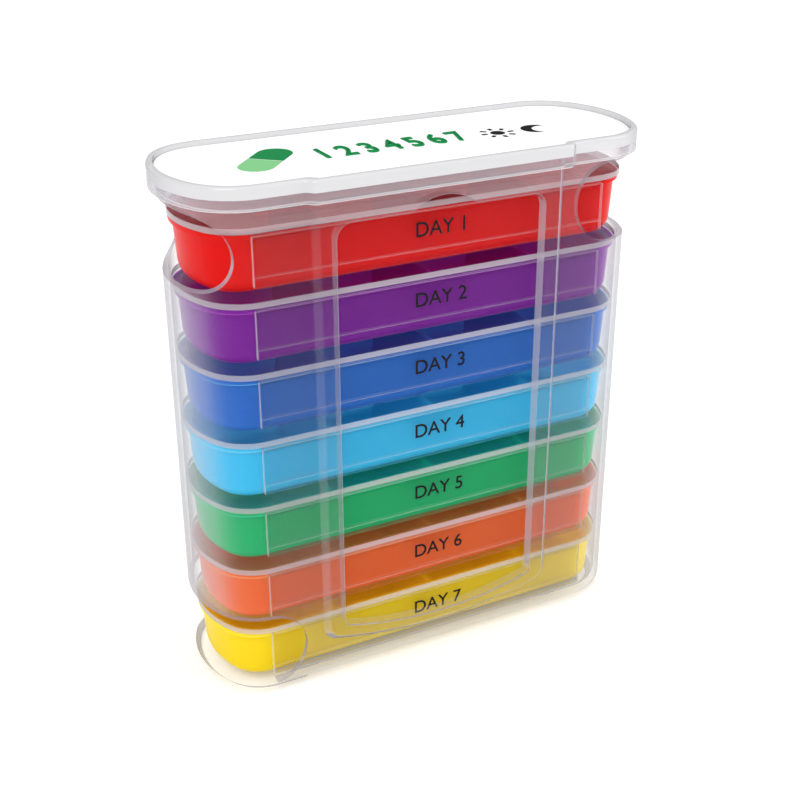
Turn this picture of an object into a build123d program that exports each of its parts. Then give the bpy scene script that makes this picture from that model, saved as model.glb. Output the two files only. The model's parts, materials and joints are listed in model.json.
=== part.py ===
# Pill organizer tower: a clear case that holds seven coloured day trays, one on another.
# Each tray has four compartments and a clear lid that slides along it. The lowest tray slides
# out to the left, the top one to the right, and a cap closes the case.
#
# Frame: millimetres, +Z up, origin at the middle of the case's foot. -Y is the windowed front,
# +X is the right end seen from the front.

import os
from math import atan2, cos, degrees, pi, sin, sqrt

from build123d import *

# Case
case_length = 110.0
case_width = 37.1
corner_radius = 12.2
end_radius = 26.2
wall = 1.3
base_round = 4.6
floor_top = 2.3
headroom = 6.6

# Raised band on the front, with the window through it
band_width = 60.4
band_proud = 1.6
band_slope = 1.5
band_bottom = 7.4
band_bottom_rise = 4.0
band_corner = 4.0
band_edge_round = 0.7
window_margin = 3.5
window_bottom = 11.1
window_bottom_rise = 3.6
window_top_gap = 7.6
window_corner = 3.6
window_low_corner = 2.0
window_edge_round = 0.3
arch_width = 15.2
arch_rise = 2.9
arch_corner = 2.0

# Openings in the ends
slot_reach = 20.6
slot_upper_corner = 8.6
slot_spare_height = 3.4
slot_step = 0.3
notch_radius = 8.4
notch_height = 9.1

# Trays
tray_count = 7
compartments = 4
tray_height = 13.65
tray_wall = 1.1
tray_floor = 1.2
tray_taper = 0.8
tray_bottom_round = 3.4
tray_inner_round = 2.2
divider = 1.2
flange_height = 1.2
flange_proud = 0.8

# Lids
lid_clearance = 0.37
lid_rest_gap = 0.05
lid_plate = 1.4
lid_edge_round = 0.35
lid_end_overhang = 0.2
apron_width = 84.6
apron_height = 11.4
apron_thick = 0.8
apron_bead_height = 2.1
apron_bead_proud = 0.2
apron_gap = 0.7
apron_step = 0.15
apron_edge_round = 0.07
slide_clearance = 0.12
hook_clearance = 0.15
hook_height = 0.6
hook_proud = 0.45
back_rail_height = 2.8
rail_height = 0.8
rail_width = 2.0
rail_length = 78.0
rail_spacing = 18.0

# Cap
cap_plate = 2.7
cap_edge_round = 0.7
cap_bump_round = 1.5
skirt_drop = 2.5
skirt_wall = 1.45
skirt_clearance = 0.3
skirt_edge_round = 0.4
rim_width = 1.45
label_recess = 1.3
label_gap = 0.15
label_thick = 0.2

# Worked out from the sizes above
case_half_length = case_length / 2
case_half_width = case_width / 2
unit_height = tray_height + lid_rest_gap + lid_plate
pitch = unit_height + rail_height
stack_top = floor_top + tray_count * pitch
case_top = stack_top + headroom - rail_height
band_face = case_half_width + band_proud
window_width = band_width - 2 * (band_slope + window_margin)
window_top = case_top - window_top_gap
lid_shrink = wall + lid_clearance
lid_half_width = case_half_width - lid_shrink
lid_half_length = case_half_length - lid_shrink
flange_half_width = lid_half_width - apron_thick - slide_clearance
flange_half_length = lid_half_length - lid_end_overhang
body_half_width = flange_half_width - flange_proud
body_half_length = flange_half_length - flange_proud
slot_height = unit_height + slot_spare_height
cap_grow = skirt_clearance + skirt_wall
cap_top = case_top + cap_plate
recess_floor = cap_top - label_recess
taper_angle = degrees(atan2(tray_taper, tray_height))
inner_length = 2 * (body_half_length - tray_wall)
arch_radius = (arch_width**2 / 4 + arch_rise**2) / (2 * arch_rise)
beyond = 2 * case_length
near = 0.01

os.makedirs("parts", exist_ok=True)


def tray_level(day):
    """Height of a tray's underside; day 1 is at the top and day 7 on the case's floor."""
    return floor_top + (tray_count - day) * pitch


def arc_points(centre, radius, start, end):
    """Start, middle and end point of an arc, with its angles in radians."""
    angles = (start, (start + end) / 2, end)
    return [(centre[0] + radius * cos(a), centre[1] + radius * sin(a)) for a in angles]


def draw_outline(half_length, half_width, corner, end):
    """Face of the rounded outline: straight sides, corner arcs and one wide arc on each end."""
    end_centre = half_length - end
    corner_y = half_width - corner
    corner_x = end_centre + sqrt((end - corner) ** 2 - corner_y**2)
    turn = atan2(corner_y, corner_x - end_centre)
    with BuildLine() as border:
        for side in (0, pi):
            sign = cos(side)
            low = (sign * corner_x, -sign * corner_y)
            high = (sign * corner_x, sign * corner_y)
            ThreePointArc(*arc_points(low, corner, side - pi / 2, side - turn))
            ThreePointArc(*arc_points((sign * end_centre, 0), end, side - turn, side + turn))
            ThreePointArc(*arc_points(high, corner, side + turn, side + pi / 2))
            Line((sign * corner_x, sign * half_width), (-sign * corner_x, sign * half_width))
    make_face(border.edges())


def draw_case_outline(shrink):
    """The case's outer outline, drawn in by shrink all round."""
    draw_outline(
        case_half_length - shrink,
        case_half_width - shrink,
        corner_radius - shrink,
        end_radius - shrink,
    )


def draw_tray_outline(shrink):
    """The tray's flange outline, drawn in by shrink all round."""
    draw_outline(
        flange_half_length - shrink,
        flange_half_width - shrink,
        corner_radius - lid_shrink - shrink,
        end_radius - lid_shrink - shrink,
    )


def draw_capped_outline(grow):
    """The case's outline with the band on its front, grown by grow all round."""
    draw_case_outline(-grow)
    half = band_width / 2 + grow
    front = -(band_face + grow)
    with BuildLine() as border:
        Polyline(
            (-half, 0),
            (-half, -(case_half_width + grow)),
            (-half + band_slope, front),
            (half - band_slope, front),
            (half, -(case_half_width + grow)),
            (half, 0),
            close=True,
        )
    make_face(border.edges())
    low = vertices().filter_by_position(Axis.Y, front - near, -case_half_width - grow + near)
    fillet(low.filter_by_position(Axis.X, -half - near, half + near), radius=cap_bump_round)


def draw_shield(width, bottom, rise, low_corner, top):
    """Face with straight sides and a bottom edge that sags by rise, with rounded low corners."""
    half = width / 2
    with BuildLine() as border:
        ThreePointArc((-half, bottom + rise), (0, bottom), (half, bottom + rise))
        Polyline((half, bottom + rise), (half, top), (-half, top), (-half, bottom + rise))
    make_face(border.edges())
    low = vertices().filter_by_position(Axis.Y, bottom + rise - near, bottom + rise + near)
    fillet(low, radius=low_corner)


def draw_end_slot(side, low):
    """Opening in the left (-1) or right (1) end, seen from the front, from the height low up."""
    inner = side * (case_half_length - slot_reach)
    outer = side * case_length
    high = low + slot_height
    lower_corner = slot_height - slot_upper_corner
    inward = 0 if side < 0 else pi
    upper = (inner + side * slot_upper_corner, high - slot_upper_corner)
    lower = (inner + side * lower_corner, low + lower_corner)
    with BuildLine() as border:
        ThreePointArc(*arc_points(upper, slot_upper_corner, inward, pi / 2))
        ThreePointArc(*arc_points(lower, lower_corner, inward, 2 * inward - pi / 2))
        Polyline((upper[0], high), (outer, high), (outer, low), (lower[0], low))
    make_face(border.edges())


# Inside of the case
with BuildPart() as cavity:
    with BuildSketch(Plane.XY.offset(floor_top)):
        draw_case_outline(wall)
    extrude(amount=case_top)
    fillet(cavity.edges().group_by(Axis.Z)[0], radius=base_round - wall)

# Clear case: rounded tube with a floor, raised band, window, end slots and finger notch
with BuildPart() as case:
    with BuildSketch():
        draw_case_outline(0)
    extrude(amount=case_top)
    fillet(case.edges().group_by(Axis.Z)[0], radius=base_round)
    with BuildSketch(Plane.XZ.offset(case_half_width)) as band:
        draw_shield(band_width, band_bottom, band_bottom_rise, band_corner, case_top + band_slope)
    extrude(amount=band_proud, taper=degrees(atan2(band_slope, band_proud)))
    fillet(case.edges().filter_by_position(Axis.Y, -band_face, -band_face), band_edge_round)
    extrude(band.sketch, amount=-case_half_width / 2)
    with BuildSketch(Plane.XY.offset(case_top)):
        Rectangle(beyond, beyond)
    extrude(amount=case_top, mode=Mode.SUBTRACT)
    add(cavity.part, mode=Mode.SUBTRACT)
    with BuildSketch(Plane.XZ.offset(band_face)):
        draw_shield(window_width, window_bottom, window_bottom_rise, window_low_corner, window_top)
        fillet(vertices().group_by(Axis.Y)[-1], radius=window_corner)
        with Locations((0, window_top + arch_rise - arch_radius)):
            Circle(arch_radius)
        arch_feet = vertices().filter_by_position(Axis.Y, window_top - near, window_top + near)
        fillet(arch_feet.filter_by_position(Axis.X, -arch_width, arch_width), radius=arch_corner)
    extrude(amount=-case_half_width, mode=Mode.SUBTRACT)
    window_rim = case.edges().filter_by_position(Axis.Y, -band_face, -band_face)
    window_rim = window_rim.filter_by_position(Axis.X, -window_width / 2, window_width / 2)
    window_rim = window_rim.filter_by_position(Axis.Z, window_bottom, window_top + arch_rise)
    fillet(window_rim, radius=window_edge_round)
    with BuildSketch(Plane.XZ):
        draw_end_slot(-1, floor_top)
        draw_end_slot(1, tray_level(1) - slot_step)
        with Locations((-case_half_length, tray_level(1) + notch_height)):
            Circle(notch_radius)
    extrude(amount=case_width, both=True, mode=Mode.SUBTRACT)
case.part.label = "case"
export_step(case.part, "parts/case.step")

# Cap: a plate that lies on the case's top edge, with a skirt round it and a recess for the label
with BuildPart() as cap:
    with BuildSketch(Plane.XY.offset(case_top - skirt_drop)):
        draw_capped_outline(cap_grow)
    extrude(amount=skirt_drop + cap_plate)
    fillet(cap.edges().group_by(Axis.Z)[-1], radius=cap_edge_round)
    with BuildSketch(Plane.XY.offset(cap_top)):
        draw_capped_outline(cap_grow - rim_width)
    extrude(amount=-label_recess, mode=Mode.SUBTRACT)
    with BuildSketch(Plane.XY.offset(case_top - skirt_drop)):
        draw_capped_outline(skirt_clearance)
    extrude(amount=skirt_drop, mode=Mode.SUBTRACT)
    skirt_edges = cap.faces().sort_by(Axis.Z)[0].outer_wire().edges()
    fillet(skirt_edges, radius=skirt_edge_round)
cap.part.label = "cap"
export_step(cap.part, "parts/cap.step")

# White label in the cap's recess
with BuildPart() as cap_label:
    with BuildSketch(Plane.XY.offset(recess_floor)):
        draw_capped_outline(cap_grow - rim_width - label_gap)
    extrude(amount=label_thick)
cap_label.part.label = "cap_label"
export_step(cap_label.part, "parts/cap_label.step")

# The four compartments of a tray whose underside is at zero
with BuildPart() as pockets:
    with BuildSketch(Plane.XY.offset(tray_height)):
        draw_tray_outline(flange_proud + tray_wall)
        with GridLocations(inner_length / compartments, 1, compartments - 1, 1):
            Rectangle(divider, case_width, mode=Mode.SUBTRACT)
    extrude(amount=tray_floor - tray_height, taper=taper_angle)
    fillet(pockets.edges().group_by(Axis.Z)[0], radius=tray_inner_round)

# Tray with its underside at zero: tapered tub, round bottom edge, flange for the lid's hooks
with BuildPart() as tray_blank:
    with BuildSketch(Plane.XY.offset(tray_height)):
        draw_tray_outline(flange_proud)
    extrude(amount=-tray_height, taper=taper_angle)
    fillet(tray_blank.edges().group_by(Axis.Z)[0], radius=tray_bottom_round)
    with BuildSketch(Plane.XY.offset(tray_height - flange_height)):
        draw_tray_outline(0)
    extrude(amount=flange_height)
    add(pockets.part, mode=Mode.SUBTRACT)

# Lid with its underside at zero: plate, front apron, hooks under the tray's flange, two rails
with BuildPart() as lid_blank:
    with BuildSketch():
        draw_case_outline(lid_shrink)
    extrude(amount=lid_plate)
    fillet(lid_blank.edges().group_by(Axis.Z)[-1], radius=lid_edge_round)
    apron_front = -lid_half_width
    apron_back = apron_front + apron_thick
    bead_top = -apron_height + apron_bead_height
    hook_top = -flange_height - hook_clearance
    with BuildSketch(Plane.YZ):
        with BuildLine():
            Polyline(
                (apron_front + apron_step, lid_plate / 2),
                (apron_front + apron_step, -apron_gap),
                (apron_front, -apron_gap),
                (apron_front, bead_top),
                (apron_front - apron_step, bead_top),
                (apron_front - apron_step, -apron_height),
                (apron_back + apron_bead_proud, -apron_height),
                (apron_back + apron_bead_proud, bead_top),
                (apron_back, bead_top),
                (apron_back, hook_top - hook_height),
                (apron_back + hook_proud, hook_top - hook_height),
                (apron_back + hook_proud, hook_top),
                (apron_back, hook_top),
                (apron_back, lid_plate / 2),
                close=True,
            )
        make_face()
        rounded = vertices().filter_by_position(Axis.X, apron_front - apron_step - near, apron_front + near)
        fillet(rounded, radius=apron_edge_round)
        with BuildLine():
            Polyline(
                (lid_half_width, lid_plate / 2),
                (lid_half_width, -back_rail_height),
                (-apron_back, -back_rail_height),
                (-apron_back - hook_proud, hook_top - hook_height),
                (-apron_back - hook_proud, hook_top),
                (-apron_back, hook_top),
                (-apron_back, lid_plate / 2),
                close=True,
            )
        make_face()
    extrude(amount=apron_width / 2, both=True)
    with BuildSketch(Plane.XY.offset(lid_plate)):
        with GridLocations(1, rail_spacing, 1, 2):
            SlotOverall(rail_length, rail_width)
    extrude(amount=rail_height)

for day in range(1, tray_count + 1):
    with BuildPart() as tray:
        with Locations((0, 0, tray_level(day))):
            add(tray_blank.part)
    tray.part.label = f"tray_{day}"
    export_step(tray.part, f"parts/tray_{day}.step")
    with BuildPart() as lid:
        with Locations((0, 0, tray_level(day) + tray_height + lid_rest_gap)):
            add(lid_blank.part)
    lid.part.label = f"lid_{day}"
    export_step(lid.part, f"parts/lid_{day}.step")
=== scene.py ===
"""Dressed model of the pill organizer tower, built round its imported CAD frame.

Every length is in metres, in the frame of the CAD: +Z up, -Y the windowed front, +X the right end.
"""

import json
import logging
import math
from dataclasses import dataclass
from enum import Enum

import bmesh
import bpy
from mathutils import Matrix, Vector

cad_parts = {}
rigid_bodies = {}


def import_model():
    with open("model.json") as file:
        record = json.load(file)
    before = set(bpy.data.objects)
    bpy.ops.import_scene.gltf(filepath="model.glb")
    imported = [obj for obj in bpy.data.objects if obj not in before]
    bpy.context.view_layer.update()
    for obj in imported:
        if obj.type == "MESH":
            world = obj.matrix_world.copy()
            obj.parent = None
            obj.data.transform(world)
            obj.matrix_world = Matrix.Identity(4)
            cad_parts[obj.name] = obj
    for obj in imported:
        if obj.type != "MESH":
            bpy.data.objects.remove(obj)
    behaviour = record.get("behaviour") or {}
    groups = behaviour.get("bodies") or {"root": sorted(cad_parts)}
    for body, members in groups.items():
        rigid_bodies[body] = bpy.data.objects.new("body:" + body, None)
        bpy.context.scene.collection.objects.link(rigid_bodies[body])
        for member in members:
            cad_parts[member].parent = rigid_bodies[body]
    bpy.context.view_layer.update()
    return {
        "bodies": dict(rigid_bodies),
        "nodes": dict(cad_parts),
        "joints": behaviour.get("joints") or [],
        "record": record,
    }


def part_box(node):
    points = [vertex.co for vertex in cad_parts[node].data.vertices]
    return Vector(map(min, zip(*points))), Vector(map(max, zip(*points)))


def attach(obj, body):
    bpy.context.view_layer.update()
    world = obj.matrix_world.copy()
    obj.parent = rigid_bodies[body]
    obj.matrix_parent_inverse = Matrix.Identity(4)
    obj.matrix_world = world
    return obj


Pair = tuple[float, float]
Triple = tuple[float, float, float]
Colour = Triple
Socket = bpy.types.NodeSocket

LOG = logging.getLogger("tower")
MM = 0.001
# A bound that no value reaches, be it a place in metres or a part of a direction.
FAR = 2.0
INK_HEIGHT = 0.06 * MM
WHITE: Colour = (1.0, 1.0, 1.0)


def rgba(colour: Colour) -> tuple[float, float, float, float]:
    """Adds full opacity to a colour.

    Args:
        colour: Red, green and blue.

    Returns:
        The four values that a colour socket takes.
    """
    return (*colour, 1.0)


def shaded(colour: Colour, factor: float) -> Colour:
    """Makes a colour lighter or darker.

    Args:
        colour: The colour.
        factor: What each of its values is multiplied by.

    Returns:
        The new colour.
    """
    red, green, blue = colour
    return (red * factor, green * factor, blue * factor)


def keep_object(name: str, data: bpy.types.ID) -> bpy.types.Object:
    """Puts a mesh, lamp or camera into the scene, at the origin.

    Args:
        name: The object's name.
        data: What it shows.

    Returns:
        The new object.
    """
    made = bpy.data.objects.new(name, data)
    bpy.context.scene.collection.objects.link(made)
    return made


class Slot(Enum):
    """Names of two material slots of the record; the script's own pieces are not put in them."""

    LID = "lid_plastic"
    LABEL = "label_paper"


class Day(Enum):
    """The seven day trays from the top down, each with its colour as it is written."""

    RED = (1, (0.580, 0.003, 0.002))
    VIOLET = (2, (0.155, 0.008, 0.240))
    BLUE = (3, (0.015, 0.115, 0.420))
    LIGHT_BLUE = (4, (0.032, 0.400, 0.660))
    GREEN = (5, (0.006, 0.340, 0.115))
    ORANGE = (6, (0.660, 0.105, 0.016))
    YELLOW = (7, (0.720, 0.520, 0.008))

    @property
    def number(self) -> int:
        """Place of the tray in the stack, 1 at the top."""
        return self.value[0]

    @property
    def colour(self) -> Colour:
        """Colour of the tray's plastic."""
        return self.value[1]


class NodeBuilder:
    """Small helper that adds nodes to a tree and links them."""

    def __init__(self, tree: bpy.types.NodeTree) -> None:
        """Keeps the tree that the nodes go into.

        Args:
            tree: The node tree of a material, world, group or modifier.
        """
        self.tree = tree

    def add(
        self, kind: str, inputs: dict[str, object] | None = None, **settings: object
    ) -> bpy.types.Node:
        """Adds a node to the tree.

        Args:
            kind: The node's type name.
            inputs: A value or an output for each of its inputs, by the input's name.
            **settings: Properties of the node, such as its operation.

        Returns:
            The new node.
        """
        node = self.tree.nodes.new(kind)
        for name, value in settings.items():
            setattr(node, name, value)
        self.feed(node, inputs or {})
        return node

    def feed(self, node: bpy.types.Node, inputs: dict[str, object]) -> None:
        """Sets inputs of a node, or links them.

        Args:
            node: The node.
            inputs: A value or an output for each input, by the input's name.
        """
        for name, value in inputs.items():
            if isinstance(value, Socket):
                self.link(value, node.inputs[name])
            else:
                node.inputs[name].default_value = value

    def link(self, source: Socket, target: Socket) -> None:
        """Links an output to an input.

        Args:
            source: The output.
            target: The input.
        """
        self.tree.links.new(source, target)

    def split(self, source: Socket) -> dict[str, Socket]:
        """Splits a vector into its three numbers.

        Args:
            source: The vector's output.

        Returns:
            The outputs by their axis: X, Y and Z.
        """
        node = self.add("ShaderNodeSeparateXYZ", {"Vector": source})
        return {axis: node.outputs[axis] for axis in "XYZ"}

    def mix(self, factor: Socket, low: object, high: object) -> Socket:
        """Adds a node that mixes two colours.

        Args:
            factor: 0 for the first colour, 1 for the second.
            low: The first colour, or the output that gives it.
            high: The second colour, or the output that gives it.

        Returns:
            The mixed colour's output.
        """
        node = self.add("ShaderNodeMix", {"Factor": factor}, data_type="RGBA")
        sockets = [socket for socket in node.inputs if socket.type == "RGBA"]
        for socket, value in zip(sockets, (low, high)):
            if isinstance(value, Socket):
                self.link(value, socket)
            else:
                socket.default_value = rgba(value)
        return next(socket for socket in node.outputs if socket.type == "RGBA")

    def maths(self, operation: str, *values: object) -> Socket:
        """Adds a Math node.

        Args:
            operation: The node's operation.
            *values: A number or an output socket for each input in turn.

        Returns:
            The node's output.
        """
        node = self.add("ShaderNodeMath", operation=operation)
        for place, value in enumerate(values):
            if isinstance(value, Socket):
                self.link(value, node.inputs[place])
            else:
                node.inputs[place].default_value = value
        return node.outputs[0]


class SurfaceEffects:
    """Shader node groups that more than one finish uses."""

    scuff_scale: Triple = (60.0, 60.0, 900.0)
    scuff_turn: Triple = (0.5, 0.9, 0.2)
    scuff_size: float = 2.0
    scuff_detail: float = 4.0
    scuff_least: float = 0.68
    grain_share: float = 0.1
    flow_distortion: float = 1.5

    def __init__(self) -> None:
        """Builds each group once."""
        self.moulded = self._moulded_surface()
        self.tint = self._uneven_tint()
        self.band = self._band()

    def _group(self, name: str, inputs: dict[str, float], outputs: dict[str, str]) -> bpy.types.NodeTree:
        """Makes an empty group with its sockets.

        Args:
            name: The group's name.
            inputs: Name and default value of each number that it takes.
            outputs: Name and socket type of each value that it gives.

        Returns:
            The group's tree.
        """
        tree = bpy.data.node_groups.new(name, "ShaderNodeTree")
        for label, value in inputs.items():
            socket = tree.interface.new_socket(label, in_out="INPUT", socket_type="NodeSocketFloat")
            socket.default_value = value
        for label, kind in outputs.items():
            tree.interface.new_socket(label, in_out="OUTPUT", socket_type=kind)
        return tree

    def _moulded_surface(self) -> bpy.types.NodeTree:
        """Builds the group for a moulded surface: slow waves, fine grain and a few scuffs.

        Returns:
            The group's tree. It gives a roughness and a height.
        """
        tree = self._group(
            "moulded_surface",
            {"Roughness": 0.1, "Spread": 0.05, "Wave Size": 90.0, "Grain Size": 2500.0, "Scuffs": 0.2},
            {"Roughness": "NodeSocketFloat", "Height": "NodeSocketFloat"},
        )
        make = NodeBuilder(tree)
        given = make.add("NodeGroupInput").outputs
        place = make.add("ShaderNodeTexCoord").outputs["Object"]
        broad = {"Vector": place, "Scale": given["Wave Size"]}
        waves = make.add("ShaderNodeTexNoise", broad).outputs["Fac"]
        fine = {"Vector": place, "Scale": given["Grain Size"]}
        grain = make.add("ShaderNodeTexNoise", fine).outputs["Fac"]
        aslant = {"Vector": place, "Scale": self.scuff_scale, "Rotation": self.scuff_turn}
        stretched = make.add("ShaderNodeMapping", aslant).outputs["Vector"]
        scratchy = {"Vector": stretched, "Scale": self.scuff_size, "Detail": self.scuff_detail}
        scuffs = make.add("ShaderNodeTexNoise", scratchy)
        worn = make.maths("GREATER_THAN", scuffs.outputs["Fac"], self.scuff_least)
        worn = make.maths("MULTIPLY", worn, given["Scuffs"])
        swing = make.maths("MULTIPLY", make.maths("SUBTRACT", waves, 0.5), given["Spread"])
        rough = make.maths("ADD", given["Roughness"], swing)
        rough = make.maths("ADD", rough, make.maths("MULTIPLY", worn, given["Spread"]))
        height = make.maths("ADD", waves, make.maths("MULTIPLY", grain, self.grain_share))
        make.add("NodeGroupOutput", {"Roughness": rough, "Height": height})
        return tree

    def _uneven_tint(self) -> bpy.types.NodeTree:
        """Builds the group for the clouds and flow marks that dyed plastic shows.

        Returns:
            The group's tree. It gives a mask from 0 to 1.
        """
        tree = self._group(
            "uneven_tint",
            {"Cloud Size": 40.0, "Flow Size": 12.0, "Contrast": 0.6},
            {"Mask": "NodeSocketFloat"},
        )
        make = NodeBuilder(tree)
        given = make.add("NodeGroupInput").outputs
        place = make.add("ShaderNodeTexCoord").outputs["Object"]
        clouds = make.add("ShaderNodeTexNoise", {"Vector": place, "Scale": given["Cloud Size"]})
        wavy = {"Vector": place, "Scale": given["Flow Size"], "Distortion": self.flow_distortion}
        flow = make.add("ShaderNodeTexNoise", wavy)
        both = make.maths("ADD", clouds.outputs["Fac"], flow.outputs["Fac"])
        both = make.maths("MULTIPLY", make.maths("SUBTRACT", both, 1.0), given["Contrast"])
        clamp = make.add("ShaderNodeClamp", {"Value": make.maths("ADD", both, 0.5)})
        make.add("NodeGroupOutput", {"Mask": clamp.outputs["Result"]})
        return tree

    def _band(self) -> bpy.types.NodeTree:
        """Builds the group for a mask that is 1 where a value lies between two others.

        Returns:
            The group's tree. The mask's edges are soft.
        """
        tree = self._group(
            "band",
            {"Value": 0.0, "Low": 0.0, "High": 1.0, "Soft": 0.1},
            {"Mask": "NodeSocketFloat"},
        )
        make = NodeBuilder(tree)
        given = make.add("NodeGroupInput").outputs
        rise = make.maths("DIVIDE", make.maths("SUBTRACT", given["Value"], given["Low"]), given["Soft"])
        fall = make.maths("DIVIDE", make.maths("SUBTRACT", given["High"], given["Value"]), given["Soft"])
        least = make.maths("ADD", make.maths("MINIMUM", rise, fall), 0.5)
        clamp = make.add("ShaderNodeClamp", {"Value": least})
        make.add("NodeGroupOutput", {"Mask": clamp.outputs["Result"]})
        return tree


@dataclass(frozen=True)
class Finish:
    """What the finishes share: a Principled material with a moulded surface."""

    name: str
    colour: Colour
    roughness: float = 0.2
    spread: float = 0.08
    wave_size: float = 90.0
    bump: float = 0.05
    bump_height: float = 0.2 * MM
    shine: float = 0.5

    def material(self, effects: SurfaceEffects) -> bpy.types.Material:
        """Makes the material.

        Args:
            effects: The shared node groups.

        Returns:
            The new material.
        """
        made = bpy.data.materials.new(self.name)
        made.use_nodes = True
        made.node_tree.nodes.clear()
        make = NodeBuilder(made.node_tree)
        surface = make.add("ShaderNodeBsdfPrincipled", {"Specular IOR Level": self.shine})
        make.add("ShaderNodeOutputMaterial", {"Surface": surface.outputs["BSDF"]})
        self._mould(make, surface, effects)
        self._colour(make, surface, effects)
        return made

    def _mould(self, make: NodeBuilder, surface: bpy.types.Node, effects: SurfaceEffects) -> None:
        """Feeds the roughness and the normal from the moulded surface group.

        Args:
            make: Builder of the material's tree.
            surface: The Principled node.
            effects: The shared node groups.
        """
        given = {"Roughness": self.roughness, "Spread": self.spread, "Wave Size": self.wave_size}
        group = make.add("ShaderNodeGroup", node_tree=effects.moulded)
        make.feed(group, given)
        relief = {
            "Height": group.outputs["Height"],
            "Strength": self.bump,
            "Distance": self.bump_height,
        }
        bump = make.add("ShaderNodeBump", relief)
        make.feed(surface, {"Roughness": group.outputs["Roughness"], "Normal": bump.outputs["Normal"]})

    def _colour(self, make: NodeBuilder, surface: bpy.types.Node, effects: SurfaceEffects) -> None:
        """Sets one plain colour; the finishes below replace this.

        Args:
            make: Builder of the material's tree.
            surface: The Principled node.
            effects: The shared node groups.
        """
        surface.inputs["Base Color"].default_value = rgba(self.colour)


@dataclass(frozen=True)
class Span:
    """Values between two bounds, with soft edges; a bound that isn't given is out of reach."""

    low: float = -FAR
    high: float = FAR
    soft: float = 0.1 * MM

    def moved(self, start: float) -> "Span":
        """Moves a span that is measured from some part of the object.

        Args:
            start: Place of that part.

        Returns:
            The span as it lies in the frame.
        """
        return Span(self.low + start, self.high + start, self.soft)


@dataclass(frozen=True)
class Look:
    """Colour and opacity of a clear piece at one kind of place."""

    colour: Colour
    alpha: float


class Masks:
    """Masks of one material, told apart by place, by the way a face points and by the view."""

    def __init__(self, make: NodeBuilder, effects: SurfaceEffects) -> None:
        """Adds the nodes that the masks start from.

        Args:
            make: Builder of the material's tree.
            effects: The shared node groups.
        """
        self.make = make
        self.group = effects.band
        given = make.add("ShaderNodeTexCoord").outputs
        self.spot = make.split(given["Object"])
        way = make.split(given["Normal"])
        self.forth = make.maths("ABSOLUTE", way["Y"])
        self.flat = make.maths("ABSOLUTE", way["Z"])
        self.facing = make.add("ShaderNodeLayerWeight").outputs["Facing"]

    def band(self, value: Socket, span: Span) -> Socket:
        """Adds a mask that is 1 where a value lies in a span.

        Args:
            value: The value.
            span: The span.

        Returns:
            The mask's output.
        """
        node = self.make.add("ShaderNodeGroup", node_tree=self.group)
        bounds = {"Low": span.low, "High": span.high, "Soft": span.soft}
        self.make.feed(node, {"Value": value, **bounds})
        return node.outputs["Mask"]

    def meet(self, *masks: Socket) -> Socket:
        """Adds a mask that is 1 only where all of the given masks are.

        Args:
            *masks: The masks.

        Returns:
            The mask's output.
        """
        result, *others = masks
        for mask in others:
            result = self.make.maths("MULTIPLY", result, mask)
        return result

    def dim(self, mask: Socket, where: Socket, share: float) -> Socket:
        """Weakens a mask where another one is 1.

        Args:
            mask: The mask.
            where: The other mask.
            share: How much of the mask is lost there.

        Returns:
            The weaker mask's output.
        """
        return self.meet(mask, self.make.maths("MULTIPLY_ADD", where, -share, 1.0))


@dataclass(frozen=True)
class Layer:
    """One look that a clear piece takes where a mask is 1."""

    mask: Socket
    look: Look
    mirror: bool = False


@dataclass(frozen=True)
class ClearFinish(Finish):
    """Clear moulded plastic: a thin haze, with fuller painted light and shade on its cut edges and rims.
    """

    bump: float = 0.03
    haze: float = 0.06
    refraction: float = 1.5
    haze_swing: float = 0.3
    cloud_shade: float = 0.9
    # Painted shade: upright faces seen edge-on turn this dark grey, standing in for what clear plastic
    # bends and reflects at its rims.
    rim_colour: Colour = (0.22, 0.21, 0.25)
    rim_alpha: float = 0.95
    rim_power: float = 2.8
    rim_upright: Span = Span(high=0.6, soft=0.4)

    def layers(self, masks: Masks) -> list[Layer]:
        """Gives the looks laid over the haze, in turn, most of them painted light and shade; each kind
        of clear piece has its own.

        Args:
            masks: The material's masks.

        Returns:
            The layers from the lowest to the highest.
        """
        return []

    def _colour(self, make: NodeBuilder, surface: bpy.types.Node, effects: SurfaceEffects) -> None:
        """Lays the looks over each other and feeds the colour and the alpha.

        Args:
            make: Builder of the material's tree.
            surface: The Principled node.
            effects: The shared node groups.
        """
        surface.inputs["IOR"].default_value = self.refraction
        group = make.add("ShaderNodeGroup", node_tree=effects.tint)
        colour = make.mix(group.outputs["Mask"], self.colour, shaded(self.colour, self.cloud_shade))
        alpha = make.maths("MULTIPLY", group.outputs["Mask"], self.haze_swing * self.haze)
        alpha = make.maths("ADD", alpha, (1.0 - self.haze_swing / 2) * self.haze)
        masks = Masks(make, effects)
        for layer in self.layers(masks):
            if layer.mirror:
                make.feed(surface, {"Metallic": layer.mask})
            colour = make.mix(layer.mask, colour, layer.look.colour)
            step = make.maths("SUBTRACT", layer.look.alpha, alpha)
            alpha = make.maths("MULTIPLY_ADD", step, layer.mask, alpha)
        # Painted rim shade: the more edge-on an upright face is seen, the darker grey and less clear it
        # gets.
        upright = masks.band(masks.flat, self.rim_upright)
        rim = masks.meet(make.maths("POWER", masks.facing, self.rim_power), upright)
        colour = make.mix(rim, colour, self.rim_colour)
        alpha = make.maths("MULTIPLY_ADD", rim, self.rim_alpha, alpha)
        alpha = make.maths("MINIMUM", alpha, 1.0)
        make.feed(surface, {"Base Color": colour, "Alpha": alpha})


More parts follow.
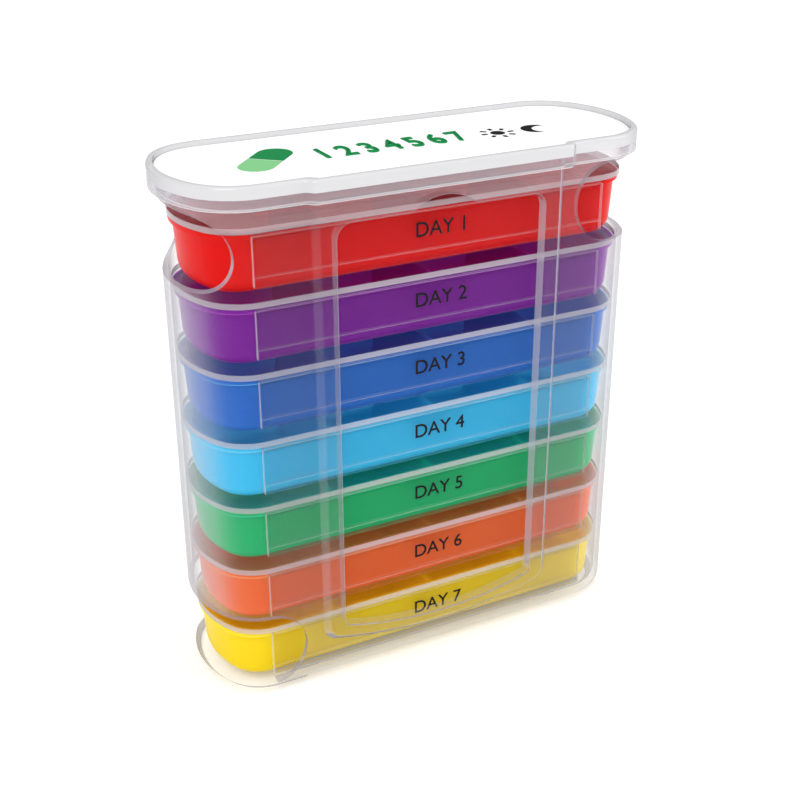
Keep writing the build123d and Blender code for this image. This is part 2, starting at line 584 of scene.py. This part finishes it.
@dataclass(frozen=True)
class CaseFinish(ClearFinish):
    """The case: painted shade and sheen make its cut edges and the slopes of its raised band look fuller
    than its walls, and a painted pink glow lies in its headroom.
    """

    # Sideways from the middle.
    beside_band: Span = Span(low=31.0 * MM)
    window_width: Span = Span(high=25.6 * MM)
    # Sideways from the right end, for both ends, and from the left end.
    between_ends: Span = Span(high=-5.0 * MM)
    lip_end: Span = Span(high=20.6 * MM)
    # Back from the front wall and from the band's face.
    before_wall: Span = Span(high=0.05 * MM)
    window_front: Span = Span(high=0.35 * MM, soft=0.2 * MM)
    window_depth: Span = Span(low=0.35 * MM, soft=0.2 * MM)
    # Up from the foot of the lowest tray, which stands on the floor.
    above_floor: Span = Span(low=0.3 * MM)
    lip_height: Span = Span(-1.4 * MM, 0.05 * MM)
    # Up from the highest edge of the top lid.
    headroom: Span = Span(low=-1.2 * MM, soft=0.3 * MM)
    # How far a face points up or down, or, for across and sloping, forth or back.
    not_level: Span = Span(high=0.92, soft=0.05)
    upright: Span = Span(high=0.6, soft=0.2)
    steep: Span = Span(high=0.5, soft=0.2)
    level: Span = Span(low=0.5, soft=0.2)
    across: Span = Span(high=0.4, soft=0.2)
    sloping: Span = Span(0.3, 0.93, 0.08)
    overhanging: Span = Span(low=0.3, soft=0.1)
    slope_power: float = 1.5
    lost: float = 0.8
    # Painted pink glow on the headroom's upright faces, standing in for the red tray's light.
    high_look: Look = Look((0.95, 0.66, 0.70), 0.12)
    # Painted shade on the raised band's slopes, stronger where they are seen edge-on.
    slope_look: Look = Look((0.40, 0.40, 0.52), 0.90)
    # Painted grey sheen on the cut edges, standing in for the light that clear plastic carries out at
    # its cut faces.
    cut_look: Look = Look((0.66, 0.64, 0.72), 0.40)
    # Painted shade on the window's outer brinks and under the band's slopes.
    brink_look: Look = Look((0.30, 0.29, 0.36), 0.66)
    # Painted shade on the cut edges at the ends and on the floor's lip.
    end_look: Look = Look((0.38, 0.37, 0.44), 0.60)

    def layers(self, masks: Masks) -> list[Layer]:
        """Gives the painted light and shade of the headroom, the band's slopes, the cut edges and the
        floor's lip.

        Args:
            masks: The material's masks.

        Returns:
            The layers from the lowest to the highest.
        """
        make, spot, flat, forth = masks.make, masks.spot, masks.flat, masks.forth
        beside = make.maths("ABSOLUTE", spot["X"])
        (left, band_face, _), (right, back_wall, _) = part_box("case")
        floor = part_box("tray_7")[0].z
        lid_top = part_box("lid_1")[1].z
        headroom = masks.band(spot["Z"], self.headroom.moved(lid_top))
        # Painted glow: upright faces above the top lid take a pink tint, standing in for the red tray's
        # light.
        high = masks.meet(headroom, masks.band(flat, self.upright))

        front = masks.band(spot["Y"], self.before_wall.moved(-back_wall))
        ramp = masks.meet(front, masks.band(forth, self.sloping))
        # Painted shade on the band's slopes, growing as they turn edge-on to the view.
        slope = masks.meet(ramp, make.maths("POWER", masks.facing, self.slope_power))
        # Painted shade under the band's overhanging slopes.
        under = masks.meet(ramp, masks.band(flat, self.overhanging))

        # Painted sheen on the cut edges: the window's level and upright reveals and the case's ends,
        # weaker on faces seen from behind through the wall.
        level = masks.band(flat, self.level)
        within = masks.band(beside, self.window_width)
        outside = masks.band(spot["Y"], self.window_front.moved(band_face))
        # Painted shade along the window's outer level brinks.
        brink = masks.meet(level, within, outside)
        inside = masks.band(spot["Y"], self.window_depth.moved(band_face))
        level = masks.dim(level, masks.meet(within, inside), self.lost)
        across = masks.meet(
            masks.band(forth, self.across),
            masks.band(flat, self.steep),
            masks.band(beside, self.between_ends.moved(right)),
        )
        hidden = make.add("ShaderNodeNewGeometry").outputs["Backfacing"]
        across = masks.dim(across, hidden, self.lost)
        above = masks.band(spot["Z"], self.above_floor.moved(floor))
        cut = masks.meet(make.maths("MAXIMUM", level, across), above)
        # Painted shade on the cut edges beyond the band, at the ends.
        ends = masks.meet(cut, masks.band(beside, self.beside_band))

        # Painted dark line on the floor's lip at the left end.
        lip = masks.meet(
            masks.band(spot["Z"], self.lip_height.moved(floor)),
            masks.band(spot["X"], self.lip_end.moved(left)),
            masks.band(flat, self.not_level),
        )
        return [
            Layer(high, self.high_look),
            Layer(slope, self.slope_look),
            Layer(cut, self.cut_look),
            Layer(make.maths("MAXIMUM", brink, under), self.brink_look),
            Layer(ends, self.end_look),
            Layer(lip, self.end_look),
        ]


@dataclass(frozen=True)
class LidFinish(ClearFinish):
    """A lid: painted light and shade on its greyish rim, a painted pink glow on the top lid, and painted
    pale highlights along the apron's edges and its foot strip.
    """

    # Up from the tray's rim.
    plate: Span = Span(0.0, 1.5 * MM, 0.05 * MM)
    underside: Span = Span(-0.1 * MM, 0.1 * MM, 0.05 * MM)
    # Up from the apron's low edge.
    lines: tuple[float, ...] = (0.0, 2.1 * MM, 10.7 * MM)
    line_half: float = 0.05 * MM
    line_soft: float = 0.08 * MM
    soft: float = 0.05 * MM
    apron_half: float = 42.3 * MM
    # Back from the tray's front.
    front: Span = Span(high=0.06 * MM)
    # Up from the low edge of the top lid.
    top_lid: Span = Span(low=8.0 * MM)
    # How far a face points up or down.
    level: Span = Span(low=0.9, soft=0.1)
    side: Span = Span(high=0.75, soft=0.3)
    face_look: Look = Look((0.95, 0.95, 0.97), 0.19)
    # Painted pink glow on the top lid's level faces, standing in for the red tray's light in the
    # headroom.
    top_look: Look = Look((0.95, 0.50, 0.54), 0.45)
    # Painted pale light on the plate's edge faces, standing in for light carried through the clear
    # plate.
    rim_look: Look = Look((0.60, 0.57, 0.60), 0.46)
    # Painted shade: a dark line along the plate's lower edge, where it sits on the tray.
    edge_look: Look = Look((0.20, 0.18, 0.22), 0.50)
    # Painted pale highlights along the apron's edges and its foot strip.
    line_look: Look = Look((0.95, 0.90, 0.92), 0.34)

    def layers(self, masks: Masks) -> list[Layer]:
        """Gives the looks of the plate's faces, the painted light and shade of its rim, the painted glow
        on the top lid and the painted highlights along the apron's lines.

        Args:
            masks: The material's masks.

        Returns:
            The layers from the lowest to the highest.
        """
        make, spot, flat = masks.make, masks.spot, masks.flat
        half = self.line_half
        tray_low, tray_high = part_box("tray_7")
        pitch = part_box("tray_6")[0].z - tray_low.z
        rim_height = tray_high.z - tray_low.z
        apron_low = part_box("lid_7")[0].z - tray_low.z
        side = masks.band(flat, self.side)
        height = make.maths("SUBTRACT", spot["Z"], tray_low.z)
        height = make.maths("FLOORED_MODULO", height, pitch)
        # Painted light on the plate's edge faces, at every level of the stack.
        rim = masks.meet(masks.band(height, self.plate.moved(rim_height)), side)
        # Painted shade along the plate's lower edge, at every level of the stack.
        edge = masks.meet(masks.band(height, self.underside.moved(rim_height)), side)

        # Painted highlights: thin pale lines on the apron's front, up its two ends and across it at each
        # height in lines.
        outer = make.maths("ABSOLUTE", spot["X"])
        panel = Span(self.lines[0] - half, self.lines[-1] + half, self.soft).moved(apron_low)
        upright_highlight = masks.band(outer, Span(low=self.apron_half - half, soft=self.soft))
        line = masks.meet(upright_highlight, masks.band(height, panel))
        for place in self.lines:
            stroke = Span(place - half, place + half, self.line_soft).moved(apron_low)
            line = make.maths("MAXIMUM", line, masks.band(height, stroke))
        within = masks.band(outer, Span(high=self.apron_half + half, soft=self.soft))
        front = masks.band(spot["Y"], self.front.moved(tray_low.y))
        line = masks.meet(line, front, within)

        level = masks.band(flat, self.level)
        top_lid = self.top_lid.moved(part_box("lid_1")[0].z)
        # Painted glow: the top lid's level faces take a pink tint.
        top = masks.meet(level, masks.band(spot["Z"], top_lid))
        return [
            Layer(level, self.face_look, mirror=True),
            Layer(top, self.top_look),
            Layer(rim, self.rim_look),
            Layer(edge, self.edge_look),
            Layer(line, self.line_look),
        ]


@dataclass(frozen=True)
class CapFinish(ClearFinish):
    """The cap: milky plate over a clear skirt, with a painted highlight along the skirt's lower edge."""

    # Up from the case's top edge and from the skirt's low edge.
    plate: Span = Span(low=0.05 * MM)
    skirt_foot: Span = Span(high=0.3 * MM)
    plate_look: Look = Look((0.62, 0.62, 0.63), 0.93)
    # Painted highlight along the skirt's lower edge.
    foot_look: Look = Look((0.92, 0.90, 0.92), 0.55)

    def layers(self, masks: Masks) -> list[Layer]:
        """Gives the look of the plate and the painted highlight along the skirt's lower edge.

        Args:
            masks: The material's masks.

        Returns:
            The layers from the lowest to the highest.
        """
        height = masks.spot["Z"]
        plate = masks.band(height, self.plate.moved(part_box("case")[1].z))
        # Painted highlight: a pale band at the foot of the clear skirt.
        foot = masks.band(height, self.skirt_foot.moved(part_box("cap")[0].z))
        return [Layer(plate, self.plate_look), Layer(foot, self.foot_look)]


@dataclass(frozen=True)
class DyedFinish(Finish):
    """Dyed translucent plastic of the trays: lighter clouds and a soft inner glow."""

    roughness: float = 0.3
    shine: float = 0.12
    refraction: float = 1.45
    lift: float = 0.08
    depth: float = 4.0 * MM
    glow: float = 0.17

    def _colour(self, make: NodeBuilder, surface: bpy.types.Node, effects: SurfaceEffects) -> None:
        """Mixes the dye with a lighter shade of it, and sets how deep the light goes.

        A weak glow stands in for the light that the thin walls pass on to the dividers.

        Args:
            make: Builder of the material's tree.
            surface: The Principled node.
            effects: The shared node groups.
        """
        depths = {
            "IOR": self.refraction,
            "Subsurface Weight": 1.0,
            "Subsurface Radius": (1.0, 1.0, 1.0),
            "Subsurface Scale": self.depth,
            "Emission Strength": self.glow,
        }
        make.feed(surface, depths)
        clouds = make.add("ShaderNodeGroup", node_tree=effects.tint).outputs["Mask"]
        deeper, lighter = shaded(self.colour, 1.0 - self.lift), shaded(self.colour, 1.0 + self.lift)
        dye = make.mix(clouds, deeper, lighter)
        make.feed(surface, {"Base Color": dye, "Emission Color": dye})


CASE_FINISH = CaseFinish(
    "case_clear", (0.75, 0.74, 0.78), roughness=0.08, spread=0.05, haze=0.003, rim_power=2.4
)
LID_FINISH = LidFinish("lid_clear", (0.06, 0.05, 0.07), roughness=0.10, spread=0.05, haze=0.04)
CAP_FINISH = CapFinish("cap_clear", (0.72, 0.70, 0.76), roughness=0.12, spread=0.06, haze=0.16)
LABEL_FINISH = Finish("label_white", (0.95, 0.95, 0.95), roughness=0.45, spread=0.05, bump=0.02)
BLACK_INK = Finish("ink_black", (0.012, 0.010, 0.012), roughness=0.6, shine=0.1)
GREEN_INK = Finish("ink_green", (0.003, 0.230, 0.060), roughness=0.6, shine=0.1)
PALE_INK = Finish("ink_pale_green", (0.200, 0.520, 0.220), roughness=0.6, shine=0.1)


class Paint:
    """Makes each material once and hands it out by its finish."""

    def __init__(self) -> None:
        """Builds the shared groups."""
        self.effects = SurfaceEffects()
        self.made: dict[str, bpy.types.Material] = {}

    def of(self, finish: Finish) -> bpy.types.Material:
        """Gives the material of a finish.

        Args:
            finish: The finish.

        Returns:
            The material, made at the first call.
        """
        if finish.name not in self.made:
            self.made[finish.name] = finish.material(self.effects)
        return self.made[finish.name]


def dress(piece: bpy.types.Object, material: bpy.types.Material) -> None:
    """Puts a material on every slot of a piece.

    Args:
        piece: The piece.
        material: The material.
    """
    if not piece.material_slots:
        piece.data.materials.append(material)
    for holder in piece.material_slots:
        holder.link = "OBJECT"
        holder.material = material


class ShapeTree:
    """Geometry Nodes tree with named inputs that ends in one placed and inked shape."""

    def __init__(self, name: str, wanted: dict[str, str]) -> None:
        """Makes the tree, its inputs and its output.

        Args:
            name: The tree's name.
            wanted: Socket type of each input, by name.
        """
        self.tree = bpy.data.node_groups.new(name, "GeometryNodeTree")
        self.sockets: dict[str, str] = {}
        for label, kind in wanted.items():
            socket = self.tree.interface.new_socket(label, in_out="INPUT", socket_type=kind)
            self.sockets[label] = socket.identifier
        self.tree.interface.new_socket("Geometry", in_out="OUTPUT", socket_type="NodeSocketGeometry")
        self.make = NodeBuilder(self.tree)
        self.given = self.make.add("NodeGroupInput").outputs

    def join(self, *shapes: Socket) -> Socket:
        """Adds a node that joins shapes.

        Args:
            *shapes: Outputs that give the shapes.

        Returns:
            The output that gives them as one.
        """
        joined = self.make.add("GeometryNodeJoinGeometry")
        for shape in shapes:
            self.make.link(shape, joined.inputs["Geometry"])
        return joined.outputs["Geometry"]

    def close(self, shape: Socket, **place: Socket) -> None:
        """Puts the shape in its place, inks it and leads it out of the tree.

        Args:
            shape: Output that gives the shape.
            **place: Output for each input of the Transform node.
        """
        placed = self.make.add("GeometryNodeTransform", {"Geometry": shape, **place})
        real = self.make.add("GeometryNodeRealizeInstances", {"Geometry": placed.outputs["Geometry"]})
        inputs = {"Geometry": real.outputs["Geometry"], "Material": self.given["Ink"]}
        inked = self.make.add("GeometryNodeSetMaterial", inputs)
        self.make.add("NodeGroupOutput", {"Geometry": inked.outputs["Geometry"]})

    def piece(self, name: str, values: dict[str, object]) -> bpy.types.Object:
        """Runs the tree once and keeps what it makes as a plain mesh.

        Args:
            name: The new piece's name.
            values: Value of each input, by name.

        Returns:
            The finished object, at the origin.
        """
        holder = keep_object("holder", bpy.data.meshes.new("holder"))
        modifier = holder.modifiers.new("shape", "NODES")
        modifier.node_group = self.tree
        for label, value in values.items():
            modifier[self.sockets[label]] = value
        evaluated = holder.evaluated_get(bpy.context.evaluated_depsgraph_get())
        mesh = bpy.data.meshes.new_from_object(evaluated)
        holder.modifiers.remove(modifier)
        bpy.data.objects.remove(holder)
        mesh.name = name
        made = keep_object(name, mesh)
        dress(made, values["Ink"])
        return made


class PrintMaker(ShapeTree):
    """Sets a line of print as thin raised ink."""

    ink_height: float = INK_HEIGHT
    merge_distance: float = 0.001 * MM
    stroke_sides: int = 8

    def __init__(self) -> None:
        """Builds the tree: text to curves, filled, raised, turned upright and put in its place."""
        wanted = {
            "Text": "NodeSocketString",
            "Size": "NodeSocketFloat",
            "Place": "NodeSocketVector",
            "Turn": "NodeSocketVector",
            "Stretch": "NodeSocketVector",
            "Weight": "NodeSocketFloat",
            "Ink Height": "NodeSocketFloat",
            "Ink": "NodeSocketMaterial",
        }
        super().__init__("printed_line", wanted)
        make, given = self.make, self.given
        text = {"String": given["Text"], "Size": given["Size"]}
        letters = make.add("GeometryNodeStringToCurves", text, align_x="CENTER", align_y="MIDDLE")
        each = {"Geometry": letters.outputs["Curve Instances"]}
        curves = make.add("GeometryNodeRealizeInstances", each).outputs["Geometry"]
        filled = make.add("GeometryNodeFillCurve", {"Curve": curves}).outputs["Mesh"]
        height = {"Mesh": filled, "Offset Scale": given["Ink Height"], "Individual": False}
        raised = make.add("GeometryNodeExtrudeMesh", height)
        back = make.add("GeometryNodeFlipFaces", {"Mesh": filled})
        solid = self.join(raised.outputs["Mesh"], back.outputs["Mesh"])
        welded = {"Geometry": solid, "Distance": self.merge_distance}
        merged = make.add("GeometryNodeMergeByDistance", welded)
        round_stroke = {"Resolution": self.stroke_sides, "Radius": given["Weight"]}
        stroke = make.add("GeometryNodeCurvePrimitiveCircle", round_stroke)
        sweep = {"Curve": curves, "Profile Curve": stroke.outputs["Curve"]}
        outline = make.add("GeometryNodeCurveToMesh", sweep)
        bold = self.join(merged.outputs["Geometry"], outline.outputs["Mesh"])
        self.close(bold, Translation=given["Place"], Rotation=given["Turn"], Scale=given["Stretch"])

    def line(
        self,
        name: str,
        text: str,
        size: float,
        place: Vector,
        ink: bpy.types.Material,
        turn: Triple = (0.0, 0.0, 0.0),
        stretch: Triple = (1.0, 1.0, 1.0),
        weight: float = 0.06 * MM,
    ) -> bpy.types.Object:
        """Makes one line of print as a plain mesh.

        Args:
            name: The piece's name.
            text: What is printed.
            size: Letter size in metres.
            place: Middle of the line, on the surface that carries it.
            ink: Material of the ink.
            turn: Rotation of the line as angles about X, Y and Z.
            stretch: Scale of the letters along the line, across it and out of it.
            weight: Half of what the strokes gain in width.

        Returns:
            The finished object, at the origin.
        """
        values = {
            "Text": text,
            "Size": size,
            "Place": tuple(place),
            "Turn": turn,
            "Stretch": stretch,
            "Weight": weight,
            "Ink Height": self.ink_height,
            "Ink": ink,
        }
        return self.piece(name, values)


@dataclass
class DayStack:
    """The seven dyed trays and their clear sliding lids, with the day print on each apron."""

    frame: dict
    paint: Paint
    press: PrintMaker
    letter_size: float = 4.7 * MM
    middle_x: float = 0.9 * MM
    above_low_edge: float = 6.6 * MM
    behind_foot_strip: float = 0.15 * MM
    upright: Triple = (math.pi / 2, 0.0, 0.0)

    def body_of(self, node: str) -> str:
        """Finds the CAD body that carries a node.

        Args:
            node: The node's name.

        Returns:
            The body's name.
        """
        groups = self.frame["record"]["behaviour"]["bodies"]
        return next(body for body, members in groups.items() if node in members)

    def build(self) -> None:
        """Dresses each tray and lid and prints its day."""
        for day in Day:
            tray = self.frame["nodes"][f"tray_{day.number}"]
            lid = self.frame["nodes"][f"lid_{day.number}"]
            dress(tray, self.paint.of(DyedFinish(f"dyed_{day.name.lower()}", day.colour)))
            dress(lid, self.paint.of(LID_FINISH))
            self.print_day(day, lid.name)
            LOG.info("tray %d, its lid and its print", day.number)

    def print_day(self, day: Day, lid: str) -> None:
        """Prints the day's number on the front of a lid's apron.

        Args:
            day: The day.
            lid: Name of the lid's CAD node.
        """
        low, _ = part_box(lid)
        place = Vector((self.middle_x, low.y + self.behind_foot_strip, low.z + self.above_low_edge))
        name, text = f"print_day_{day.number}", f"DAY {day.number}"
        ink = self.paint.of(BLACK_INK)
        piece = self.press.line(name, text, self.letter_size, place, ink, turn=self.upright)
        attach(piece, self.body_of(lid))


class RayMaker(ShapeTree):
    """Sets a disc with even rays round it."""

    rays: int = 8
    disc_sides: int = 48
    disc_share: float = 0.50
    ray_shares: Pair = (0.42, 0.26)
    height: float = 0.12 * MM

    def __init__(self) -> None:
        """Builds the tree: one ray on each point of a circle, turned outwards, and the disc."""
        wanted = {
            "Rays": "NodeSocketInt",
            "Ring Radius": "NodeSocketFloat",
            "Disc Radius": "NodeSocketFloat",
            "Ray Size": "NodeSocketVector",
            "Ink Height": "NodeSocketFloat",
            "Place": "NodeSocketVector",
            "Ink": "NodeSocketMaterial",
        }
        super().__init__("disc_with_rays", wanted)
        make, given = self.make, self.given
        circle = {"Vertices": given["Rays"], "Radius": given["Ring Radius"]}
        ring = make.add("GeometryNodeMeshCircle", circle)
        ray = make.add("GeometryNodeMeshCube", {"Size": given["Ray Size"]})
        share = make.maths("DIVIDE", make.add("GeometryNodeInputIndex").outputs[0], given["Rays"])
        turn = make.add("ShaderNodeCombineXYZ", {"Z": make.maths("MULTIPLY", share, 2.0 * math.pi)})
        copies = {
            "Points": ring.outputs["Mesh"],
            "Instance": ray.outputs["Mesh"],
            "Rotation": turn.outputs["Vector"],
        }
        spread = make.add("GeometryNodeInstanceOnPoints", copies)
        round_shape = {
            "Vertices": self.disc_sides,
            "Radius": given["Disc Radius"],
            "Depth": given["Ink Height"],
        }
        disc = make.add("GeometryNodeMeshCylinder", round_shape)
        both = self.join(spread.outputs["Instances"], disc.outputs["Mesh"])
        self.close(both, Translation=given["Place"])

    def disc(self, name: str, place: Vector, radius: float, ink: bpy.types.Material) -> bpy.types.Object:
        """Makes one disc with rays as a plain mesh.

        Args:
            name: The piece's name.
            place: Its middle.
            radius: Radius out to the middle of the rays.
            ink: Material of the ink.

        Returns:
            The finished object, at the origin.
        """
        along, across = (radius * share for share in self.ray_shares)
        values = {
            "Rays": self.rays,
            "Ring Radius": radius,
            "Disc Radius": radius * self.disc_share,
            "Ray Size": (along, across, self.height),
            "Ink Height": self.height,
            "Place": tuple(place),
            "Ink": ink,
        }
        return self.piece(name, values)


def arc(middle: Pair, radius: float, start: float, end: float, steps: int = 24) -> list[Pair]:
    """Gives points along an arc.

    Args:
        middle: Its middle.
        radius: Its radius.
        start: Angle of its first point, in degrees.
        end: Angle of its last point, in degrees.
        steps: How many parts it has.

    Returns:
        The points.
    """
    angles = [math.radians(start + (end - start) * i / steps) for i in range(steps + 1)]
    return [(middle[0] + radius * math.cos(a), middle[1] + radius * math.sin(a)) for a in angles]


def raised_shape(
    name: str, outline: list[Pair], place: Vector, turn: float, height: float, ink: bpy.types.Material
) -> bpy.types.Object:
    """Makes a flat printed shape with a little height.

    Args:
        name: The piece's name.
        outline: Points round the shape, counterclockwise.
        place: Where its own origin goes.
        turn: How far it is turned, in degrees.
        height: Height of the ink.
        ink: Material of the ink.

    Returns:
        The finished object, at the origin.
    """
    turned = Matrix.Rotation(math.radians(turn), 3, "Z")
    shape = bmesh.new()
    low = [shape.verts.new(turned @ Vector((x, y, 0.0)) + place) for x, y in outline]
    high = [shape.verts.new(v.co + Vector((0.0, 0.0, height))) for v in low]
    shape.faces.new(list(reversed(low)))
    shape.faces.new(high)
    for i, foot in enumerate(low):
        after = (i + 1) % len(low)
        shape.faces.new((foot, low[after], high[after], high[i]))
    mesh = bpy.data.meshes.new(name)
    shape.to_mesh(mesh)
    shape.free()
    piece = keep_object(name, mesh)
    dress(piece, ink)
    return piece


@dataclass
class LabelPrint:
    """Print on the cap's label: a capsule, the numbers 1 to 7, a sun and a moon."""

    paint: Paint
    press: PrintMaker
    capsule_place: Pair = (-31.7 * MM, 1.0 * MM)
    capsule_length: float = 19.0 * MM
    capsule_radius: float = 3.9 * MM
    capsule_gap: float = 0.4 * MM
    capsule_turn: float = 48.0
    numbers: str = "1 2 3 4 5 6 7"
    numbers_place: Pair = (-2.7 * MM, -0.5 * MM)
    numbers_size: float = 11.0 * MM
    numbers_stretch: Triple = (0.64, 1.0, 1.0)
    numbers_weight: float = 0.30 * MM
    sun_place: Pair = (23.5 * MM, -1.5 * MM)
    moon_place: Pair = (33.3 * MM, -1.9 * MM)
    moon_turn: float = -30.0
    moon_ends: Pair = (60.0, 300.0)
    moon_share: float = 0.62
    mark_radius: float = 3.4 * MM
    ink_height: float = INK_HEIGHT

    def build(self) -> None:
        """Makes each mark on the label's face and lets it ride on the cap."""
        _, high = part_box("cap_label")
        spots = (self.capsule_place, self.numbers_place, self.sun_place, self.moon_place)
        capsule, middle, sun, moon = (Vector((x, y, high.z)) for x, y in spots)
        green = self.paint.of(GREEN_INK)
        black = self.paint.of(BLACK_INK)
        outline, turn, height = self.crescent(), self.moon_turn, self.ink_height
        pieces = [
            *self.capsule(capsule),
            self.press.line(
                "label_numbers",
                self.numbers,
                self.numbers_size,
                middle,
                green,
                stretch=self.numbers_stretch,
                weight=self.numbers_weight,
            ),
            RayMaker().disc("label_sun", sun, self.mark_radius, black),
            raised_shape("label_moon", outline, moon, turn, height, black),
        ]
        for piece in pieces:
            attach(piece, "cap")
            LOG.info("%s", piece.name)

    def capsule(self, place: Vector) -> list[bpy.types.Object]:
        """Makes the two halves of the capsule pictogram.

        Args:
            place: The capsule's middle.

        Returns:
            The two pieces.
        """
        reach = self.capsule_length / 2 - self.capsule_radius
        radius = self.capsule_radius
        near = self.capsule_gap / 2
        right = [(near, -radius)] + arc((reach, 0.0), radius, -90.0, 90.0) + [(near, radius)]
        left = [(-x, -y) for x, y in right]
        halves = (("label_capsule_green", right, GREEN_INK), ("label_capsule_pale", left, PALE_INK))
        return [
            raised_shape(name, outline, place, self.capsule_turn, self.ink_height, self.paint.of(ink))
            for name, outline, ink in halves
        ]

    def crescent(self) -> list[Pair]:
        """Draws the moon: a wide arc out and a flatter one back.

        Returns:
            The points of its outline.
        """
        outer = arc((0.0, 0.0), self.mark_radius, *self.moon_ends)
        tip = outer[0]
        middle = (self.mark_radius * self.moon_share, 0.0)
        reach = math.hypot(tip[0] - middle[0], tip[1] - middle[1])
        start = math.degrees(math.atan2(-tip[1], tip[0] - middle[0])) % 360.0
        inner = arc(middle, reach, start, 360.0 - start)
        return outer + inner[1:-1]


@dataclass
class Enclosure:
    """The clear case and the cap with its printed label."""

    frame: dict
    paint: Paint
    press: PrintMaker

    def build(self) -> None:
        """Dresses the case and the cap, and prints the label."""
        finishes = {"case": CASE_FINISH, "cap": CAP_FINISH, "cap_label": LABEL_FINISH}
        for node, finish in finishes.items():
            dress(self.frame["nodes"][node], self.paint.of(finish))
        LOG.info("case, cap and label")
        LabelPrint(self.paint, self.press).build()


@dataclass(frozen=True)
class Lamp:
    """A large soft lamp."""

    name: str
    place: Triple
    size: float
    watts: float

    def build(self, target: Vector) -> None:
        """Makes the lamp.

        Args:
            target: Where it shines.
        """
        data = bpy.data.lights.new(self.name, "AREA")
        data.shape = "SQUARE"
        data.size = self.size
        data.energy = self.watts
        lamp = keep_object(self.name, data)
        lamp.location = self.place
        towards = target - Vector(self.place)
        lamp.rotation_euler = towards.to_track_quat("-Z", "Y").to_euler()


@dataclass
class Studio:
    """Floor, light and camera."""

    azimuth: float = -27.206
    elevation: float = 25.200
    roll: float = -0.127
    lens: float = 58.793
    sensor: float = 36.0
    clips: Pair = (0.01, 20.0)
    offset: Triple = (0.691 * MM, -53.271 * MM, 337.848 * MM)
    floor_half: float = 3.0
    floor_low: float = -0.05 * MM
    floor_colour: Colour = (0.9, 0.9, 0.9)
    floor_roughness: float = 0.9
    floor_glow: float = 0.14
    sky: float = 0.95
    sky_seen: float = 1.0
    sky_mirrored: float = 0.30
    target: Triple = (0.0, 0.0, 60.0 * MM)
    lamps: tuple[Lamp, ...] = (
        Lamp("key", (-0.55, -0.60, 0.85), 0.55, 4.9),
        Lamp("fill", (0.70, -0.35, 0.55), 0.50, 2.0),
    )

    def build(self) -> None:
        """Makes the stage round the object."""
        self.world()
        self.floor()
        for lamp in self.lamps:
            lamp.build(Vector(self.target))
        self.camera()

    def seen(self, make: NodeBuilder) -> Socket:
        """Adds a mask of the rays that show a background: from the camera or through glass.

        Args:
            make: Builder of the tree.

        Returns:
            The mask's output.
        """
        path = make.add("ShaderNodeLightPath").outputs
        return make.maths("MAXIMUM", path["Is Camera Ray"], path["Is Transmission Ray"])

    def world(self) -> None:
        """Makes plain pale surroundings: white where they are seen, dim where they are mirrored."""
        world = bpy.data.worlds.new("studio")
        bpy.context.scene.world = world
        world.use_nodes = True
        world.node_tree.nodes.clear()
        make = NodeBuilder(world.node_tree)
        mirrored = make.add("ShaderNodeLightPath").outputs["Is Glossy Ray"]
        strength = make.maths("MULTIPLY_ADD", self.seen(make), self.sky_seen - self.sky, self.sky)
        strength = make.maths("MULTIPLY_ADD", mirrored, self.sky_mirrored - self.sky, strength)
        sky = make.add("ShaderNodeBackground", {"Color": rgba(WHITE), "Strength": strength})
        make.add("ShaderNodeOutputWorld", {"Surface": sky.outputs["Background"]})

    def floor(self) -> None:
        """Makes a pale floor that keeps the object's soft shadow."""
        mesh = bpy.data.meshes.new("floor")
        half = self.floor_half
        corners = [(-half, -half, 0.0), (half, -half, 0.0), (half, half, 0.0), (-half, half, 0.0)]
        mesh.from_pydata(corners, [], [(0, 1, 2, 3)])
        floor = keep_object("floor", mesh)
        floor.location.z = self.floor_low
        made = bpy.data.materials.new("floor_white")
        made.use_nodes = True
        made.node_tree.nodes.clear()
        make = NodeBuilder(made.node_tree)
        look = {
            "Base Color": rgba(self.floor_colour),
            "Roughness": self.floor_roughness,
            "Specular IOR Level": 0.0,
            "Emission Color": rgba(WHITE),
            "Emission Strength": make.maths("MULTIPLY", self.seen(make), self.floor_glow),
        }
        surface = make.add("ShaderNodeBsdfPrincipled", look)
        make.add("ShaderNodeOutputMaterial", {"Surface": surface.outputs["BSDF"]})
        mesh.materials.append(made)

    def camera(self) -> None:
        """Sets the camera at the photograph's angle."""
        turn = math.radians(self.azimuth)
        tilt = math.radians(self.elevation)
        lean = math.radians(self.roll)
        across = Vector((math.cos(turn), math.sin(turn), 0.0))
        level = math.cos(tilt)
        ahead = Vector((-math.sin(turn) * level, math.cos(turn) * level, -math.sin(tilt)))
        up = across.cross(ahead)
        right = across * math.cos(lean) + up * math.sin(lean)
        up = up * math.cos(lean) - across * math.sin(lean)
        side, rise, depth = self.offset
        place = -(right * side + up * rise + ahead * depth)
        data = bpy.data.cameras.new("camera")
        data.sensor_width = self.sensor
        data.lens = self.lens
        data.clip_start, data.clip_end = self.clips
        camera = keep_object("camera", data)
        axes = Matrix((right, up, -ahead)).transposed()
        camera.matrix_world = Matrix.Translation(place) @ axes.to_4x4()
        bpy.context.scene.camera = camera


def main() -> None:
    """Builds the scene round the frame."""
    logging.basicConfig(level=logging.INFO, format="%(name)s: %(message)s")
    for thing in list(bpy.data.objects):
        bpy.data.objects.remove(thing)
    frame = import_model()
    bpy.context.scene.view_settings.view_transform = "Standard"
    paint = Paint()
    press = PrintMaker()
    Enclosure(frame, paint, press).build()
    DayStack(frame, paint, press).build()
    Studio().build()


if __name__ == "__main__":
    main()
